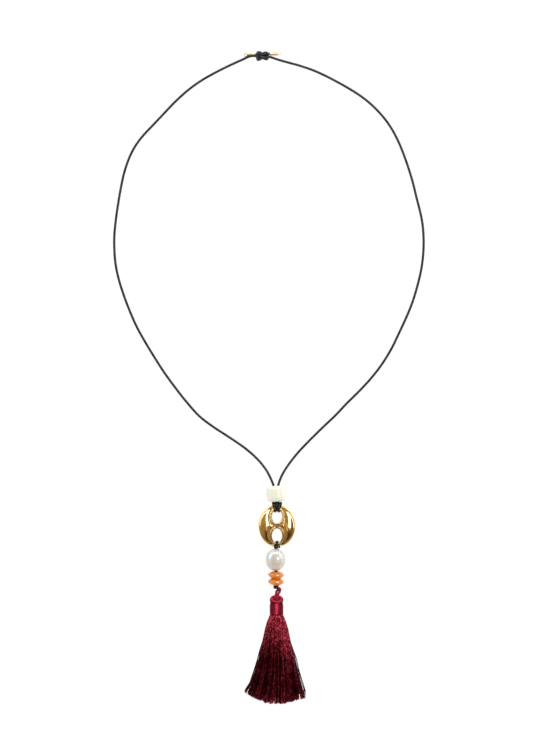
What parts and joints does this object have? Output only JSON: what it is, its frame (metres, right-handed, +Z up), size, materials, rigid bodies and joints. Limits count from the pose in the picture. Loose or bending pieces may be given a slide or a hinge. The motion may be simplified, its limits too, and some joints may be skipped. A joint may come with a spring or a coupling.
{
  "type": "tassel necklace",
  "caption": "Long necklace to slip over the head: knotted round leather cord with a bone bead, a puffed gilt link, a pearl and stone drop and a silk tassel.",
  "frame": {"origin": "middle of the neck loop, at the level of the surface that the necklace lies on", "axes": "+Y from the tassel up to the back knot, +Z up off the surface, +X to the right as seen from above"},
  "size_m": [0.187, 0.3919, 0.0122],
  "materials": {
    "neck_leather": "satin",
    "gilt_cap": "polished",
    "bone": "polished",
    "gilt_link": "polished",
    "thin_leather": "satin",
    "pearl": "pearly",
    "orange_stone": "polished",
    "silk_cord": "silky",
    "silk": "silky"
  },
  "bodies": {
    "root": {"cord_left": "neck_leather", "cord_right": "neck_leather", "cord_hitch": "neck_leather", "back_knot": "neck_leather", "end_cap_left": "gilt_cap", "end_cap_right": "gilt_cap", "bone_bead": "bone", "puffed_link": "gilt_link", "drop_cord": "thin_leather", "pearl": "pearl", "saucer_bead_upper": "orange_stone", "saucer_bead_lower": "orange_stone", "tassel_loop": "silk_cord", "tassel_binding": "silk", "tassel_fringe": "silk"}
  },
  "joints": []
}
